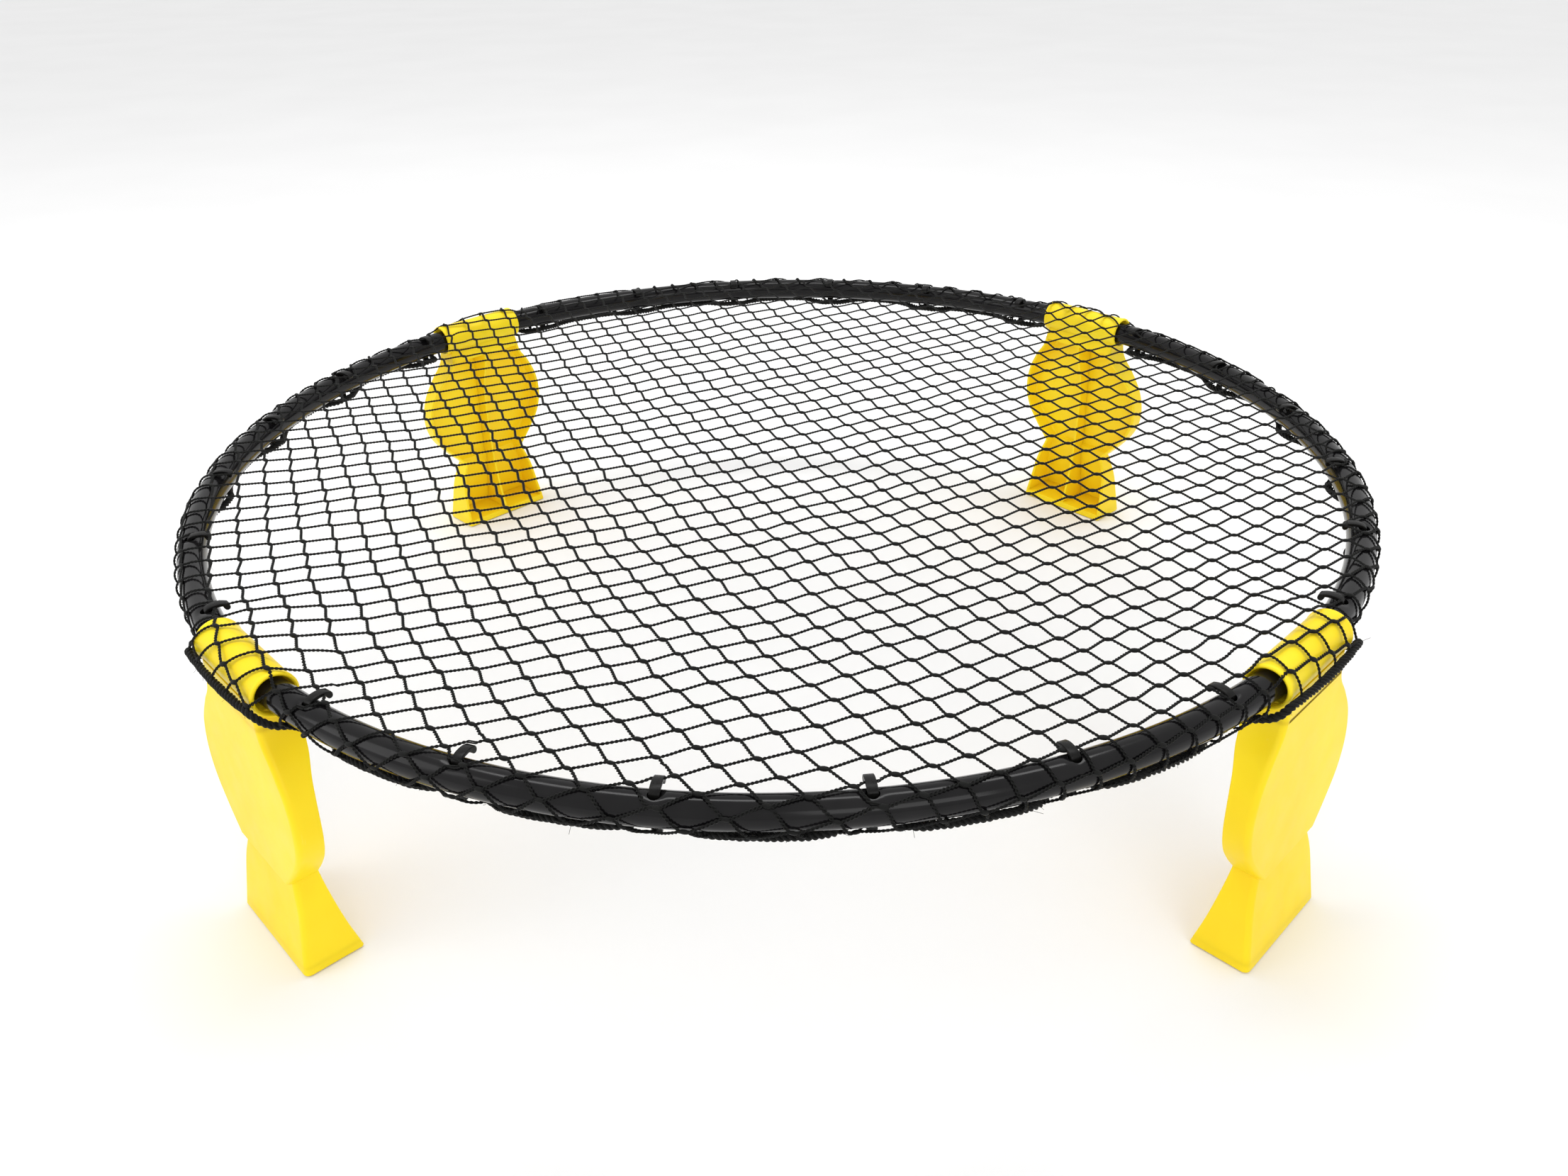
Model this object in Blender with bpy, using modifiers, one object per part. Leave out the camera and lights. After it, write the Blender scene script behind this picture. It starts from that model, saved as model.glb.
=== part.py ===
"""A round rebound net: a hoop of four tube sections on four folding legs, with a net hooked over it.

Metres, +Z up. The origin is on the floor below the centre of the hoop. The sections meet at 45, 135, 225
and 315 degrees. A leg's sleeve covers each joint, and the leg turns on the tube that runs through it.
"""

from math import cos, exp, pi, radians, sin

import bmesh
import bpy
from mathutils import Matrix, Vector
from mathutils.geometry import interpolate_bezier

# Hoop
RING_R = 0.445  # centre of the tube to the centre of the hoop
RIM_Z = 0.210  # height of the tube's centre
TUBE_R = 0.010
TUBE_WALL = 0.002
SECTIONS = 4
LEG_SLIDE = radians(0.8)  # how far each sleeve has slid along the hoop, towards the X axis
JOINT_GAP = 0.0014  # between the ends of two sections
TUBE_STEPS = 22
SPIGOT_LENGTH = 0.070
GAP = 0.0003  # between pieces that touch

# Hooks
HOOKS_PER_SECTION = 6
HOOK_STEP = radians(14.3)
HOOK_WIDTH = 0.006
HOOK_THICK = 0.0026
HOOK_HOLE_R = 0.0038
HOOK_REACH = 0.0145  # how far the claw's tip stands inside the tube's centre
HOOK_TAB = 0.0155  # how far the tab stands below the tube's centre
CROWN_R = 0.0075  # half the length of the claw's arch, along its outside
CROWN_Z = TUBE_R - 0.0005  # where the arch springs from
CROWN_RISE = 0.42  # height of the arch's outside, as a share of its half length
HOLLOW_RISE = 0.16  # and of its inside

# Net
NET_THICK = 0.0016
NET_R = RING_R - 0.017
NET_Z = RIM_Z + TUBE_R + 0.0008
CORD_R = 0.0027
CORD_STEPS = 360
CORD_TURN = radians(-72)  # the cord's place round the tube between hooks, down from the outside
CORD_TURN_VARIES = radians(8)
CORD_TURN_AT_HOOK = radians(-118)
CORD_TURN_AT_LEG = radians(-6)
CORD_PULL = 0.019  # how far along the tube a hook draws the cord in
CORD_BEYOND = 0.0085  # how far past a sleeve's end the cord is half way back to the tube
CORD_BLEND = 0.0022
CORD_OUT_AT_HOOK = 0.0010
CORD_OUT_AT_LEG = 0.0056

# Legs: heights are from the floor, depths are radii from the centre of the hoop
HINGE_R = RING_R - 0.0010  # the bore is straight and the tube in it is curved
SLEEVE_R = 0.0142
SLEEVE_LIP_R = 0.0148
SLEEVE_LIP = 0.004
BORE_R = 0.0120
SLEEVE_HALF = 0.043
WALL = 0.003
NOTCH_Z = 0.068
FOOT_OUTLINE = [(0.0490, 0.0), (0.0468, 0.022), (0.0438, 0.046), (0.0362, NOTCH_Z)]
BODY_OUTLINE = [(0.0362, NOTCH_Z), (0.0520, 0.086), (0.0640, 0.104), (0.0685, 0.124),
                (0.0645, 0.147), (0.0530, 0.167), (0.0415, 0.183), (0.0385, 0.204)]
OUTER_FACE = [(0.4757, 0.0), (0.4630, NOTCH_Z), (0.4672, NOTCH_Z + 0.001), (0.4580, 0.204)]
INNER_FACE = [(0.4340, 0.0), (0.4405, 0.027), (0.4450, 0.055), (0.4465, 0.085), (0.4460, 0.125),
              (0.4425, 0.152), (0.4355, 0.172), (0.4320, 0.188), (0.4340, 0.204)]
NECK_Z = 0.190  # the leg is solid above this
OVERSIZE = 0.6  # longer than any side of a leg, for shapes that cut right through it


def clear_scene():
    for item in list(bpy.data.objects):
        bpy.data.objects.remove(item, do_unlink=True)


def new_collection(name):
    made = bpy.data.collections.new(name)
    bpy.context.scene.collection.children.link(made)
    return made


def principled(name, colour, roughness, metallic=0.0):
    made = bpy.data.materials.new(name)
    made.use_nodes = True
    shader = made.node_tree.nodes["Principled BSDF"]
    shader.inputs["Base Color"].default_value = (*colour, 1.0)
    shader.inputs["Roughness"].default_value = roughness
    shader.inputs["Metallic"].default_value = metallic
    return made


def add_object(name, data, collection, material=None):
    made = bpy.data.objects.new(name, data)
    collection.objects.link(made)
    if material:
        data.materials.append(material)
    return made


def as_cutter(item):
    item.hide_render = True
    item.display_type = "WIRE"
    return item


def polar(angle, radius, height):
    return Vector((radius * cos(angle), radius * sin(angle), height))


def smooth_line(points, steps=4):
    """A polyline through the points, rounded between them as a Catmull-Rom curve."""
    spots = [Vector((x, y, 0.0)) for x, y in points]
    tangents = [(spots[min(i + 1, len(spots) - 1)] - spots[max(i - 1, 0)]) / 2 for i in range(len(spots))]
    line = []
    for i in range(len(spots) - 1):
        first, last = spots[i], spots[i + 1]
        line += interpolate_bezier(first, first + tangents[i] / 3, last - tangents[i + 1] / 3, last,
                                   steps + 1)[:-1]
    line.append(spots[-1])
    return [(spot.x, spot.y) for spot in line]


def apply_all(item):
    """Turns a curve or a mesh with modifiers into a plain, welded mesh object in the same place."""
    graph = bpy.context.evaluated_depsgraph_get()
    mesh = bpy.data.meshes.new_from_object(item.evaluated_get(graph))
    work = bmesh.new()
    work.from_mesh(mesh)
    bmesh.ops.remove_doubles(work, verts=work.verts, dist=1e-6)
    bmesh.ops.recalc_face_normals(work, faces=work.faces)
    work.to_mesh(mesh)
    work.free()
    made = add_object(item.name + "_mesh", mesh, item.users_collection[0])
    made.matrix_world = item.matrix_world
    name = item.name
    bpy.data.objects.remove(item, do_unlink=True)
    made.name = name
    return made


def boolean(item, other, operation):
    modifier = item.modifiers.new(other.name, "BOOLEAN")
    modifier.operation = operation
    modifier.object = other
    as_cutter(other)


def smooth_shade(item, angle=35):
    item.data.shade_smooth()
    item.data.set_sharp_from_angle(angle=radians(angle))


def wire(name, points, radius, collection, resolution=2, closed=False, caps=True):
    curve = bpy.data.curves.new(name, "CURVE")
    curve.dimensions = "3D"
    curve.bevel_depth = radius
    curve.bevel_resolution = resolution
    curve.use_fill_caps = caps
    spline = curve.splines.new("POLY")
    spline.points.add(len(points) - 1)
    for spot, point in zip(spline.points, points):
        spot.co = (*point, 1.0)
    spline.use_cyclic_u = closed
    return add_object(name, curve, collection)


def flat_outline(name, points, thick, collection):
    """A flat shape in the curve's own XY plane, extruded to both sides of it."""
    curve = bpy.data.curves.new(name, "CURVE")
    curve.dimensions = "2D"
    curve.fill_mode = "BOTH"
    curve.extrude = thick / 2
    spline = curve.splines.new("POLY")
    spline.points.add(len(points) - 1)
    for spot, (x, y) in zip(spline.points, points):
        spot.co = (x, y, 0.0, 1.0)
    spline.use_cyclic_u = True
    return add_object(name, curve, collection)


def rod(name, radius, length, matrix, collection, sides=24):
    """A cylinder along its own Z axis."""
    work = bmesh.new()
    bmesh.ops.create_cone(work, cap_ends=True, segments=sides, radius1=radius, radius2=radius, depth=length)
    mesh = bpy.data.meshes.new(name)
    work.to_mesh(mesh)
    work.free()
    made = add_object(name, mesh, collection)
    made.matrix_world = matrix
    return made


def block(name, size, centre, collection):
    work = bmesh.new()
    bmesh.ops.create_cube(work, size=1.0)
    bmesh.ops.scale(work, vec=size, verts=work.verts)
    mesh = bpy.data.meshes.new(name)
    work.to_mesh(mesh)
    work.free()
    made = add_object(name, mesh, collection)
    made.location = centre
    return made


def arc_points(start, end, radius, height, steps):
    return [polar(start + (end - start) * i / steps, radius, height) for i in range(steps + 1)]


def leg_angle(index):
    """Sections 1 and 3 have their middles on the X axis, and the sleeves have slid towards them."""
    return (index + 0.5) * 2 * pi / SECTIONS - (-1) ** index * LEG_SLIDE


def angle_between(first, second):
    return abs((first - second + pi) % (2 * pi) - pi)


def hook_angles(section):
    middle = section * 2 * pi / SECTIONS
    offsets = [i - (HOOKS_PER_SECTION - 1) / 2 for i in range(HOOKS_PER_SECTION)]
    return [middle + HOOK_STEP * offset for offset in offsets]


def make_rim_section(index, parts, cutters, material):
    """A quarter of the hoop: an open tube with a hole through it for each hook."""
    half = pi / SECTIONS - JOINT_GAP / 2 / RING_R
    middle = index * 2 * pi / SECTIONS
    points = arc_points(middle - half, middle + half, RING_R, RIM_Z, TUBE_STEPS)
    tube = wire(f"rim_section_{index + 1}", points, TUBE_R, parts, resolution=4, caps=False)
    shell = tube.modifiers.new("wall", "SOLIDIFY")
    shell.thickness = TUBE_WALL
    shell.offset = -1
    tube = apply_all(tube)
    tube.data.materials.append(material)
    for number, angle in enumerate(hook_angles(index)):
        place = Matrix.Translation(polar(angle, RING_R, RIM_Z)) @ Matrix.Rotation(angle, 4, "Z")
        hole = rod(f"hole_{index + 1}_{number + 1}", HOOK_HOLE_R, 4 * TUBE_R, place, cutters, sides=12)
        boolean(tube, hole, "DIFFERENCE")
    smooth_shade(tube)
    return tube


def make_rim_spigot(index, parts, material):
    """The reduced tube inside two sections' ends, hidden in a leg's sleeve."""
    middle = (index + 0.5) * 2 * pi / SECTIONS
    half = SPIGOT_LENGTH / 2 / RING_R
    points = arc_points(middle - half, middle + half, RING_R, RIM_Z, 5)
    radius = TUBE_R - TUBE_WALL - 2 * GAP
    spigot = wire(f"rim_spigot_{index + 1}", points, radius, parts, resolution=2, caps=False)
    shell = spigot.modifiers.new("wall", "SOLIDIFY")
    shell.thickness = TUBE_WALL
    shell.offset = -1
    spigot = apply_all(spigot)
    spigot.data.materials.append(material)
    smooth_shade(spigot)
    return spigot


def hook_outline():
    """The hook seen along the tube, in (inward, up) from the tube's centre: a tab, a stem and a claw."""
    half = HOOK_THICK / 2
    hollow_r = CROWN_R - HOOK_THICK
    outside, inside = [], []
    middle = CROWN_R - half
    for step in range(6):
        angle = step * radians(27)
        rise = sin(angle)
        outside.append((middle - CROWN_R * cos(angle), CROWN_Z + CROWN_R * CROWN_RISE * rise))
        inside.append((middle - hollow_r * cos(angle), CROWN_Z + hollow_r * HOLLOW_RISE * rise))
    tip = [(HOOK_REACH - 0.0005, CROWN_Z + 0.0010), (HOOK_REACH, CROWN_Z - 0.0013),
           (HOOK_REACH - 0.0015, CROWN_Z - 0.0031), (HOOK_REACH - 0.0035, CROWN_Z - 0.0023)]
    return [(-half, -HOOK_TAB)] + outside + tip + inside[::-1] + [(half, -HOOK_TAB)]


def make_hooks(parts, material):
    number = 0
    for section in range(SECTIONS):
        for angle in hook_angles(section):
            number += 1
            hook = flat_outline(f"hook_{number:02d}", hook_outline(), HOOK_WIDTH, parts)
            inward = -polar(angle, 1.0, 0.0)
            up = Vector((0.0, 0.0, 1.0))
            along = inward.cross(up)
            place = Matrix((inward, up, along)).transposed().to_4x4()
            hook.matrix_world = Matrix.Translation(polar(angle, RING_R, RIM_Z)) @ place
            bpy.context.view_layer.update()
            hook = apply_all(hook)
            hook.data.materials.append(material)
            smooth_shade(hook)


def make_net(parts, material):
    """The net's playing surface as a thin plain disc."""
    place = Matrix.Translation((0.0, 0.0, NET_Z))
    net = rod("net", NET_R, NET_THICK, place, parts, sides=72)
    net.data.materials.append(material)


def bump(distance, width):
    return exp(-((distance / width) ** 2))


def cord_point(angle):
    """The edge cord: low on the tube's outer side, out round each sleeve, and in behind each hook's tab."""
    hook = min(angle_between(angle, spot) for section in range(SECTIONS) for spot in hook_angles(section))
    leg = min(angle_between(angle, leg_angle(index)) for index in range(SECTIONS))
    at_leg = 1.0 / (1.0 + exp((leg * RING_R - SLEEVE_HALF - CORD_BEYOND) / CORD_BLEND))
    at_hook = bump(hook * RING_R, CORD_PULL) * (1.0 - at_leg)
    between = CORD_TURN + CORD_TURN_VARIES * sin(5 * angle + 1.0) * (1.0 - at_hook) * (1.0 - at_leg)
    turn = between + (CORD_TURN_AT_HOOK - CORD_TURN) * at_hook + (CORD_TURN_AT_LEG - CORD_TURN) * at_leg
    away = TUBE_R + CORD_R + 3 * GAP + at_hook * CORD_OUT_AT_HOOK + at_leg * CORD_OUT_AT_LEG
    return polar(angle, RING_R + away * cos(turn), RIM_Z + away * sin(turn))


def make_edge_cord(parts, material):
    points = [cord_point(2 * pi * i / CORD_STEPS) for i in range(CORD_STEPS)]
    cord = wire("edge_cord", points, CORD_R, parts, resolution=1, closed=True)
    cord.data.materials.append(material)


def leg_blank(name, inset, floor, collection):
    """The leg's silhouette from in front crossed with the one from the side, both drawn in by inset."""
    foot = smooth_line(FOOT_OUTLINE)
    body = smooth_line(BODY_OUTLINE)
    right = [(half - inset, z) for half, z in foot + body[1:] if z >= floor]
    right = [(right[0][0], floor)] + [spot for spot in right if spot[1] > floor + 1e-4]
    front = right + [(-x, z) for x, z in reversed(right)]
    outer = [(r - inset, max(z, floor)) for r, z in OUTER_FACE]
    inner = [(r - 2 * inset, max(z, floor)) for r, z in smooth_line(INNER_FACE, 2)
             if z > floor or floor == 0]
    side = outer + list(reversed([spot for spot in inner if spot[1] > floor])) + [(inner[0][0], floor)]
    ahead = flat_outline(name + "_front", front, OVERSIZE, collection)
    facing = Matrix(((0, 0, 1), (1, 0, 0), (0, 1, 0))).to_4x4()
    ahead.matrix_world = Matrix.Translation((HINGE_R, 0, 0)) @ facing
    beside = flat_outline(name + "_side", side, OVERSIZE, collection)
    beside.matrix_world = Matrix(((1, 0, 0), (0, 0, -1), (0, 1, 0))).to_4x4()
    bpy.context.view_layer.update()
    ahead, beside = apply_all(ahead), apply_all(beside)
    boolean(ahead, beside, "INTERSECT")
    bpy.context.view_layer.update()
    return ahead


def make_leg_mesh(cutters):
    """One leg at angle zero: a shell open to the inside, with a rib up its middle and a sleeve on top."""
    leg = leg_blank("leg_blank", 0.0, 0.0, cutters)
    pocket = leg_blank("leg_pocket", WALL, 2 * WALL, cutters)
    neck_middle = NECK_Z + OVERSIZE / 2
    for solid in (block("rib", (OVERSIZE, WALL, OVERSIZE), (HINGE_R, 0.0, RIM_Z), cutters),
                  block("neck", (OVERSIZE, OVERSIZE, OVERSIZE), (HINGE_R, 0.0, neck_middle), cutters)):
        boolean(pocket, solid, "DIFFERENCE")
    boolean(leg, pocket, "DIFFERENCE")
    along = Matrix.Translation((HINGE_R, 0, RIM_Z)) @ Matrix.Rotation(pi / 2, 4, "X")
    boolean(leg, rod("sleeve", SLEEVE_R, 2 * SLEEVE_HALF, along, cutters), "UNION")
    for side in (-1, 1):
        shift = Matrix.Translation((0, side * (SLEEVE_HALF - SLEEVE_LIP / 2), 0))
        boolean(leg, rod(f"lip_{side}", SLEEVE_LIP_R, SLEEVE_LIP, shift @ along, cutters), "UNION")
    boolean(leg, rod("bore", BORE_R, 4 * SLEEVE_HALF, along, cutters), "DIFFERENCE")
    bpy.context.view_layer.update()
    leg = apply_all(leg)
    mesh = leg.data
    mesh.transform(Matrix.Translation((-HINGE_R, 0, -RIM_Z)) @ leg.matrix_world)
    bpy.data.objects.remove(leg, do_unlink=True)
    mesh.shade_smooth()
    mesh.set_sharp_from_angle(angle=radians(35))
    return mesh


def make_legs(parts, cutters, material):
    """Four legs that share a mesh, each with its origin on its hinge axis."""
    mesh = make_leg_mesh(cutters)
    mesh.materials.append(material)
    for index in range(SECTIONS):
        angle = leg_angle(index)
        leg = bpy.data.objects.new(f"leg_{index + 1}", mesh)
        parts.objects.link(leg)
        leg.location = polar(angle, HINGE_R, RIM_Z)
        leg.rotation_euler.z = angle


def main():
    clear_scene()
    parts = new_collection("rebound_net")
    cutters = new_collection("cutters")
    black_plastic = principled("black_plastic", (0.012, 0.012, 0.013), 0.22)
    hook_plastic = principled("hook_plastic", (0.030, 0.029, 0.029), 0.40)
    net_cord = principled("net_cord", (0.010, 0.011, 0.010), 0.75)
    yellow_plastic = principled("yellow_plastic", (0.95, 0.72, 0.015), 0.36)
    for index in range(SECTIONS):
        make_rim_section(index, parts, cutters, black_plastic)
        make_rim_spigot(index, parts, black_plastic)
    make_hooks(parts, hook_plastic)
    make_net(parts, net_cord)
    make_edge_cord(parts, net_cord)
    make_legs(parts, cutters, yellow_plastic)


main()
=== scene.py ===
"""Looks for the round rebound net: netting, edge rope, moulded legs, tube and hooks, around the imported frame."""

from math import cos, pi, radians, sin

import bmesh
import bpy
import numpy as np
from mathutils import Matrix, Vector


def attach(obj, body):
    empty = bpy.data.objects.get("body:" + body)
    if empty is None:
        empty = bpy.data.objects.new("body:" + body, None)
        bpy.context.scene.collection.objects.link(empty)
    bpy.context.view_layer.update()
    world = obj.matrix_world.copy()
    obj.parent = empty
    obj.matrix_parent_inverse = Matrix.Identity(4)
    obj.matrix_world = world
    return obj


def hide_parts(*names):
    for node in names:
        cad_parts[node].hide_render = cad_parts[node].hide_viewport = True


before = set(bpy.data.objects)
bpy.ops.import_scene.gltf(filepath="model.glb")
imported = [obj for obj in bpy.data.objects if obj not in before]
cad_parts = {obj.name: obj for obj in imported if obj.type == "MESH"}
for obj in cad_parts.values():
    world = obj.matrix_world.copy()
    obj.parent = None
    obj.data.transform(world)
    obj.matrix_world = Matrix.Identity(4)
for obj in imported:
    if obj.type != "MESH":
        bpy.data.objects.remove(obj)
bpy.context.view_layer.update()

RANDOM = np.random.default_rng(7)

# The frame's own sizes, in metres
RING_R, RIM_Z, TUBE_R = 0.445, 0.210, 0.010
SECTIONS, HOOKS_PER_SECTION = 4, 6
LEG_SLIDE, HOOK_STEP = radians(0.8), radians(14.3)
JOINT_GAP, TUBE_WALL = 0.0014, 0.002
HOOK_WIDTH, HOOK_THICK, HOOK_HOLE_R, HOOK_REACH, HOOK_TAB = 0.006, 0.0026, 0.0038, 0.0145, 0.0155
CROWN_R, CROWN_Z, CROWN_RISE, HOLLOW_RISE = 0.0075, TUBE_R - 0.0005, 0.42, 0.16
CORD_R, CLEAR = 0.0027, 0.0003
HINGE_R, SLEEVE_R, LIP_R, BORE_R, SLEEVE_HALF = 0.444, 0.0142, 0.0148, 0.0120, 0.043
NOTCH_Z, WALL = 0.068, 0.003
FOOT_OUTLINE = [(0.0490, 0.0), (0.0468, 0.022), (0.0438, 0.046), (0.0362, NOTCH_Z)]
BODY_OUTLINE = [(0.0362, NOTCH_Z), (0.0520, 0.086), (0.0640, 0.104), (0.0685, 0.124),
                (0.0645, 0.147), (0.0530, 0.167), (0.0415, 0.183), (0.0385, 0.204)]
OUTER_FACE = [(0.4757, 0.0), (0.4630, NOTCH_Z), (0.4672, NOTCH_Z + 0.0015), (0.4580, 0.204)]
INNER_FACE = [(0.4340, 0.0), (0.4405, 0.027), (0.4450, 0.055), (0.4465, 0.085), (0.4460, 0.125),
              (0.4425, 0.152), (0.4355, 0.172), (0.4320, 0.188), (0.4340, 0.204)]
NECK_Z = 0.190  # the leg is solid above this

LEG_ANGLES = np.array([(i + 0.5) * pi / 2 - (-1) ** i * LEG_SLIDE for i in range(SECTIONS)])
HOOK_ANGLES = np.array([section * pi / 2 + HOOK_STEP * (i - (HOOKS_PER_SECTION - 1) / 2)
                        for section in range(SECTIONS) for i in range(HOOKS_PER_SECTION)])


# ---------------------------------------------------------------- meshes

def new_object(name, verts, faces, material):
    mesh = bpy.data.meshes.new(name)
    mesh.from_pydata([tuple(v) for v in verts], [], faces)
    mesh.validate()
    mesh.materials.append(material)
    made = bpy.data.objects.new(name, mesh)
    bpy.context.scene.collection.objects.link(made)
    return made


def quad_object(name, verts, quads, material):
    """A mesh of quads straight from arrays, for the pieces with very many faces."""
    mesh = bpy.data.meshes.new(name)
    mesh.vertices.add(len(verts))
    mesh.vertices.foreach_set("co", np.asarray(verts, np.float32).ravel())
    mesh.loops.add(4 * len(quads))
    mesh.loops.foreach_set("vertex_index", np.asarray(quads, np.int32).ravel())
    mesh.polygons.add(len(quads))
    mesh.polygons.foreach_set("loop_start", np.arange(0, 4 * len(quads), 4, dtype=np.int32))
    mesh.update(calc_edges=True)
    mesh.validate()
    mesh.shade_smooth()
    mesh.materials.append(material)
    made = bpy.data.objects.new(name, mesh)
    bpy.context.scene.collection.objects.link(made)
    return made


def unit(vectors):
    return vectors / np.maximum(np.linalg.norm(vectors, axis=-1, keepdims=True), 1e-12)


def sweep(path, across, above, radius, sides, closed=False):
    """Vertices and quads of a tube round a path. An open tube is capped with quads if it has four sides."""
    turn = 2 * pi * np.arange(sides) / sides
    radius = np.broadcast_to(np.asarray(radius, float), (len(path),))
    ring = np.cos(turn)[None, :, None] * across[:, None, :] + np.sin(turn)[None, :, None] * above[:, None, :]
    verts = (path[:, None, :] + ring * radius[:, None, None]).reshape(-1, 3)
    n = len(path)
    rows = n if closed else n - 1
    i = np.arange(rows)[:, None] * sides
    j = ((np.arange(rows) + 1) % n)[:, None] * sides
    k, m = np.arange(sides)[None, :], ((np.arange(sides) + 1) % sides)[None, :]
    quads = np.stack([i + k, i + m, j + m, j + k], -1).reshape(-1, 4)
    if not closed and sides == 4:
        last = (n - 1) * sides
        quads = np.concatenate([quads, [[3, 2, 1, 0], [last, last + 1, last + 2, last + 3]]])
    return verts, quads


def gather(parts):
    """Joins several (verts, quads) into one."""
    verts, quads, start = [], [], 0
    for v, q in parts:
        verts.append(v)
        quads.append(np.asarray(q) + start)
        start += len(v)
    return np.concatenate(verts), np.concatenate(quads)


def ramp(value, low, high):
    t = np.clip((value - low) / (high - low), 0, 1)
    return t * t * (3 - 2 * t)


# ---------------------------------------------------------------- materials

class Nodes:
    """A material's node tree, with short calls for the nodes that the looks need."""

    def __init__(self, name):
        self.material = bpy.data.materials.new(name)
        self.material.use_nodes = True
        self.tree = self.material.node_tree
        self.shader = self.tree.nodes["Principled BSDF"]

    def node(self, kind, inputs=(), **settings):
        made = self.tree.nodes.new(kind)
        for key, value in settings.items():
            setattr(made, key, value)
        for key, value in dict(inputs).items():
            if isinstance(value, bpy.types.NodeSocket):
                self.tree.links.new(value, made.inputs[key])
            else:
                made.inputs[key].default_value = value
        return made

    def link(self, output, socket):
        self.tree.links.new(output, self.shader.inputs[socket])

    def set(self, **values):
        for key, value in values.items():
            self.shader.inputs[key.replace("_", " ")].default_value = value

    def where(self):
        return self.node("ShaderNodeTexCoord").outputs["Object"]

    def noise(self, scale, detail=2.0, rough=0.5, where=None):
        return self.node("ShaderNodeTexNoise", {"Vector": where or self.where(), "Scale": scale,
                                                "Detail": detail, "Roughness": rough}).outputs["Fac"]

    def spread(self, value, low, high, out_low, out_high):
        return self.node("ShaderNodeMapRange", {"Value": value, "From Min": low, "From Max": high,
                                                "To Min": out_low, "To Max": out_high}).outputs["Result"]

    def colours(self, value, stops):
        made = self.node("ShaderNodeValToRGB", {"Fac": value})
        stops = list(stops)
        ramp_of = made.color_ramp
        ramp_of.elements[0].position, ramp_of.elements[0].color = stops[0][0], (*stops[0][1], 1)
        ramp_of.elements[1].position, ramp_of.elements[1].color = stops[-1][0], (*stops[-1][1], 1)
        for place, colour in stops[1:-1]:
            ramp_of.elements.new(place).color = (*colour, 1)
        return made.outputs["Color"]

    def math(self, operation, first, second=0.0):
        return self.node("ShaderNodeMath", {0: first, 1: second}, operation=operation).outputs["Value"]

    def mix(self, factor, first, second):
        made = self.node("ShaderNodeMix", data_type="RGBA")
        for socket, value in ((made.inputs["Factor"], factor), (made.inputs[6], first), (made.inputs[7], second)):
            if isinstance(value, bpy.types.NodeSocket):
                self.tree.links.new(value, socket)
            else:
                socket.default_value = value
        return made.outputs[2]

    def bump(self, height, strength, distance, under=None):
        made = self.node("ShaderNodeBump", {"Height": height, "Strength": strength, "Distance": distance})
        if under is not None:
            self.tree.links.new(under, made.inputs["Normal"])
        return made.outputs["Normal"]

    def along_hoop(self, stretch, fine):
        """Coordinates that run along the tube, slowly that way and finely across it."""
        parts = self.node("ShaderNodeSeparateXYZ", {"Vector": self.where()}).outputs
        angle = self.math("ARCTAN2", parts["Y"], parts["X"])
        radius = self.math("POWER", self.math("ADD", self.math("MULTIPLY", parts["X"], parts["X"]),
                                              self.math("MULTIPLY", parts["Y"], parts["Y"])), 0.5)
        return self.node("ShaderNodeCombineXYZ", {"X": self.math("MULTIPLY", angle, stretch),
                                                  "Y": self.math("MULTIPLY", radius, fine),
                                                  "Z": self.math("MULTIPLY", parts["Z"], fine)}).outputs["Vector"]


def yellow_moulding():
    n = Nodes("yellow_moulding")
    cloud = n.noise(9.0, 3.0, 0.6)
    base = n.colours(cloud, [(0.30, (0.93, 0.640, 0.0100)), (0.55, (0.97, 0.700, 0.0130)),
                             (0.75, (0.99, 0.745, 0.0180))])
    stretched = n.node("ShaderNodeMapping", {"Vector": n.where(), "Scale": (210.0, 210.0, 26.0),
                                             "Rotation": (0.3, 0.2, 0.9)}).outputs["Vector"]
    scuff = n.spread(n.noise(1.0, 4.0, 0.7, stretched), 0.66, 0.78, 0.0, 1.0)
    n.link(n.mix(n.math("MULTIPLY", scuff, 0.22), base, (1.0, 0.82, 0.16, 1)), "Base Color")
    rough = n.spread(n.noise(60.0, 2.0), 0.3, 0.7, 0.34, 0.44)
    n.link(n.math("ADD", rough, n.math("MULTIPLY", scuff, 0.12)), "Roughness")
    grain = n.noise(1500.0, 2.0, 0.6)
    flow = n.noise(28.0, 2.0, 0.5)
    n.link(n.bump(grain, 0.22, 0.00010, n.bump(flow, 0.10, 0.0012)), "Normal")
    n.set(Specular_IOR_Level=0.20, Subsurface_Weight=0.22, Subsurface_Scale=0.012)
    n.set(Subsurface_Radius=(1.0, 0.7, 0.12))
    return n.material


def black_tube():
    n = Nodes("black_tube")
    lines = n.noise(1.0, 3.0, 0.6, n.along_hoop(14.0, 2600.0))
    cloud = n.noise(30.0, 3.0, 0.6)
    n.link(n.colours(cloud, [(0.3, (0.0040, 0.0038, 0.0042)), (0.7, (0.0080, 0.0075, 0.0080))]), "Base Color")
    rough = n.math("ADD", n.spread(lines, 0.3, 0.7, 0.09, 0.16), n.spread(cloud, 0.4, 0.8, 0.0, 0.08))
    n.link(rough, "Roughness")
    n.link(n.bump(lines, 0.10, 0.00006, n.bump(cloud, 0.06, 0.0006)), "Normal")
    n.set(Specular_IOR_Level=0.20)
    return n.material


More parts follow.
